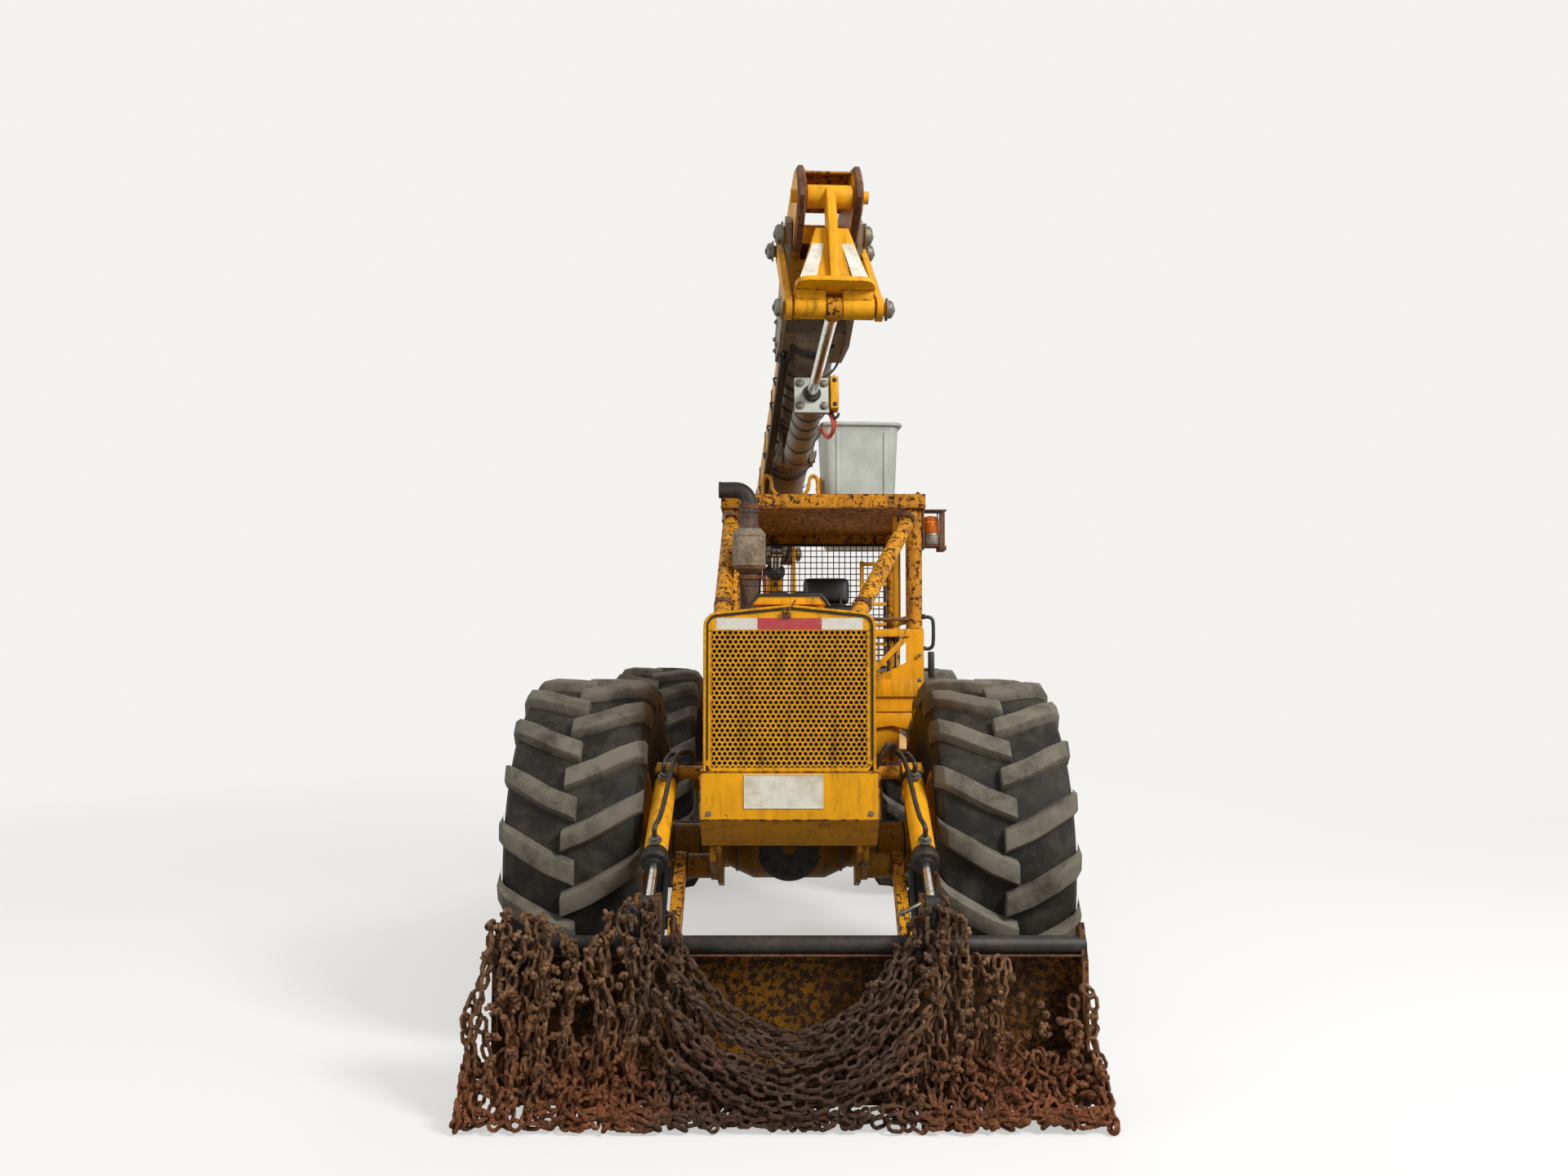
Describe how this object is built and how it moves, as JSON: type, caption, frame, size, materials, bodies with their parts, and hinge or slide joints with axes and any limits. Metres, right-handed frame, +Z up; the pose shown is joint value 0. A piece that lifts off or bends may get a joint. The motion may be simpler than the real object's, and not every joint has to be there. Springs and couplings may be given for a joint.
{
  "type": "articulated forest skidder with folding aerial bucket boom",
  "caption": "Four-wheeled articulated forestry tractor with a chain-hung front blade, open pipe cab and a folding two-section boom carrying a work bucket.",
  "frame": {"origin": "on the ground, straight below the articulation pins, in the middle of the outer box", "axes": "+Z up, -Y towards the blade and nose, +X towards the operator's left"},
  "size_m": [2.482, 5.88, 3.7563],
  "materials": {
    "paint": "weathered orange-yellow enamel, chipped and oily",
    "rust": "rusted bare steel",
    "steel": "bright rod steel",
    "black": "black rubber and plastic",
    "tyre": "dusty tyre rubber",
    "grey": "grey primer",
    "glass": "amber lens plastic",
    "shell": "speckled pale grey glass-fibre shell",
    "cast": "oily cast iron",
    "seat": "black vinyl",
    "chain": "rusty forged chain",
    "boom": "weathered brown-grey paint"
  },
  "bodies": {
    "root": {"front_frame": "paint", "front_axle": "paint", "engine": "cast", "nose_box": "paint", "grille": "paint", "hood_sides": "paint", "hood_top": "paint", "exhaust": "rust", "cab_floor": "paint", "cab_posts": "paint", "cab_roof": "paint", "cab_front_plate": "paint", "cab_rear_screen": "black", "seat": "seat", "dash": "black", "cab_step": "paint", "boom_cradle": "paint", "beacon": "glass", "hand_loop": "black", "front_shaft": "cast"},
    "wheel_front_left": {"tyre_front_left": "tyre", "rim_front_left": "paint"},
    "wheel_front_right": {"tyre_front_right": "tyre", "rim_front_right": "paint"},
    "wheel_rear_left": {"tyre_rear_left": "tyre", "rim_rear_left": "paint"},
    "wheel_rear_right": {"tyre_rear_right": "tyre", "rim_rear_right": "paint"},
    "rear": {"rear_frame": "paint", "rear_axle": "paint", "rear_deck": "paint", "pedestal": "paint", "oil_tank": "paint", "tool_box": "paint"},
    "steer_barrel_left": {"steer_barrel_left": "paint"},
    "steer_barrel_right": {"steer_barrel_right": "paint"},
    "steer_rod_left": {"steer_rod_left": "steel"},
    "steer_rod_right": {"steer_rod_right": "steel"},
    "blade": {"blade": "paint", "blade_arms": "paint", "tyre_chains": "chain"},
    "blade_barrels": {"blade_ram_barrels": "paint"},
    "blade_rods": {"blade_ram_rods": "steel"},
    "turret": {"turret": "paint"},
    "lower_boom": {"lower_boom": "boom"},
    "lift_barrel": {"lift_barrel": "paint"},
    "lift_rod": {"lift_rod": "steel"},
    "upper_boom": {"upper_boom": "paint"},
    "idlers": {"idler_links": "paint"},
    "push_link": {"push_link": "paint"},
    "elbow_barrel": {"elbow_barrel": "boom"},
    "elbow_rod": {"elbow_rod": "steel"},
    "leveller": {"level_sheave": "grey"},
    "bucket": {"bucket_frame": "paint", "bucket": "shell"}
  },
  "joints": [
    {"name": "wheel_front_left_spin", "type": "hinge", "parent": "root", "child": "wheel_front_left", "pos_m": [0.935, -1.47, 0.795], "axis": [1, 0, 0], "continuous": true},
    {"name": "wheel_front_right_spin", "type": "hinge", "parent": "root", "child": "wheel_front_right", "pos_m": [-0.935, -1.47, 0.795], "axis": [1, 0, 0], "continuous": true},
    {"name": "wheel_rear_left_spin", "type": "hinge", "parent": "rear", "child": "wheel_rear_left", "pos_m": [0.935, 1.47, 0.795], "axis": [1, 0, 0], "continuous": true},
    {"name": "wheel_rear_right_spin", "type": "hinge", "parent": "rear", "child": "wheel_rear_right", "pos_m": [-0.935, 1.47, 0.795], "axis": [1, 0, 0], "continuous": true},
    {"name": "articulation", "type": "hinge", "parent": "root", "child": "rear", "pos_m": [0, 0, 0.8], "axis": [0, 0, 1], "range_deg": [-40, 40]},
    {"name": "steer_tilt_left", "type": "hinge", "parent": "root", "child": "steer_barrel_left", "pos_m": [0.23, -0.61, 0.88], "axis": [0, 0, 1], "range_deg": [-9, 9]},
    {"name": "steer_stroke_left", "type": "slide", "parent": "steer_barrel_left", "child": "steer_rod_left", "axis": [-0.0983, 0.9952, 0], "range_m": [-0.12, 0.12]},
    {"name": "steer_tilt_right", "type": "hinge", "parent": "root", "child": "steer_barrel_right", "pos_m": [-0.23, -0.61, 0.88], "axis": [0, 0, 1], "range_deg": [-9, 9]},
    {"name": "steer_stroke_right", "type": "slide", "parent": "steer_barrel_right", "child": "steer_rod_right", "axis": [0.0983, 0.9952, 0], "range_m": [-0.12, 0.12]},
    {"name": "blade_lift", "type": "hinge", "parent": "root", "child": "blade", "pos_m": [0, -1.8, 0.75], "axis": [-1, 0, 0], "range_deg": [-12, 25]},
    {"name": "blade_ram_tilt", "type": "hinge", "parent": "root", "child": "blade_barrels", "pos_m": [0, -1.87, 1.18], "axis": [-1, 0, 0], "range_deg": [-11, 22]},
    {"name": "blade_ram_stroke", "type": "slide", "parent": "blade_barrels", "child": "blade_rods", "axis": [0, -0.8585, -0.5128], "range_m": [-0.19, 0.09]},
    {"name": "boom_slew", "type": "hinge", "parent": "rear", "child": "turret", "pos_m": [-0.13, 1.73, 1.75], "axis": [0, 0, 1], "range_deg": [-180, 180]},
    {"name": "boom_lift", "type": "hinge", "parent": "turret", "child": "lower_boom", "pos_m": [-0.13, 1.73, 2.45], "axis": [-0.9976, -0.0698, 0], "range_deg": [0, 65]},
    {"name": "lift_tilt", "type": "hinge", "parent": "turret", "child": "lift_barrel", "pos_m": [-0.11465, 1.51054, 1.85], "axis": [-0.9976, -0.0698, 0], "range_deg": [0, 38.5]},
    {"name": "lift_stroke", "type": "slide", "parent": "lift_barrel", "child": "lift_rod", "axis": [0.0479, -0.685, 0.727], "range_m": [0, 0.52]},
    {"name": "elbow", "type": "hinge", "parent": "lower_boom", "child": "upper_boom", "pos_m": [0.14622, -2.22006, 3.52254], "axis": [0.9976, 0.0698, 0], "range_deg": [0, 130]},
    {"name": "idler_swing", "type": "hinge", "parent": "lower_boom", "child": "idlers", "pos_m": [0.13587, -2.0721, 3.49802], "axis": [0.9976, 0.0698, 0], "range_deg": [0, 80.02]},
    {"name": "push_swing", "type": "hinge", "parent": "idlers", "child": "push_link", "pos_m": [0.17336, -2.60817, 3.08995], "axis": [0.9976, 0.0698, 0], "range_deg": [-21.51, 0]},
    {"name": "elbow_ram_tilt", "type": "hinge", "parent": "lower_boom", "child": "elbow_barrel", "pos_m": [0.03981, -0.69843, 2.80014], "axis": [0.9976, 0.0698, 0], "range_deg": [0, 3.89]},
    {"name": "elbow_ram_stroke", "type": "slide", "parent": "elbow_barrel", "child": "elbow_rod", "axis": [0.069, -0.9863, 0.1497], "range_m": [-0.862, 0]},
    {"name": "level_turn", "type": "hinge", "parent": "upper_boom", "child": "leveller", "pos_m": [-0.17179, 2.32765, 2.84975], "axis": [0.9976, 0.0698, 0], "range_deg": [0, 65]},
    {"name": "bucket_turn", "type": "hinge", "parent": "leveller", "child": "bucket", "pos_m": [-0.17179, 2.32765, 2.84975], "axis": [-0.9976, -0.0698, 0], "range_deg": [0, 130]}
  ],
  "couplings": [
    {"joint": "steer_tilt_left", "follows": "articulation", "ratio": 0.2124},
    {"joint": "steer_stroke_left", "follows": "articulation", "m_per_rad": 0.1622},
    {"joint": "steer_tilt_right", "follows": "articulation", "ratio": 0.2124},
    {"joint": "steer_stroke_right", "follows": "articulation", "m_per_rad": -0.1622},
    {"joint": "blade_ram_tilt", "follows": "blade_lift", "ratio": 0.86},
    {"joint": "blade_ram_stroke", "follows": "blade_lift", "m_per_rad": -0.415},
    {"joint": "lift_tilt", "follows": "boom_lift", "ratio": 0.57477},
    {"joint": "lift_stroke", "follows": "boom_lift", "m_per_rad": 0.43944},
    {"joint": "idler_swing", "follows": "elbow", "ratio": 0.60786},
    {"joint": "push_swing", "follows": "elbow", "ratio": -0.16221},
    {"joint": "elbow_ram_tilt", "follows": "elbow", "ratio": 0.028469},
    {"joint": "elbow_ram_stroke", "follows": "elbow", "m_per_rad": -0.37616},
    {"joint": "level_turn", "follows": "boom_lift", "ratio": 1},
    {"joint": "bucket_turn", "follows": "elbow", "ratio": 1}
  ]
}
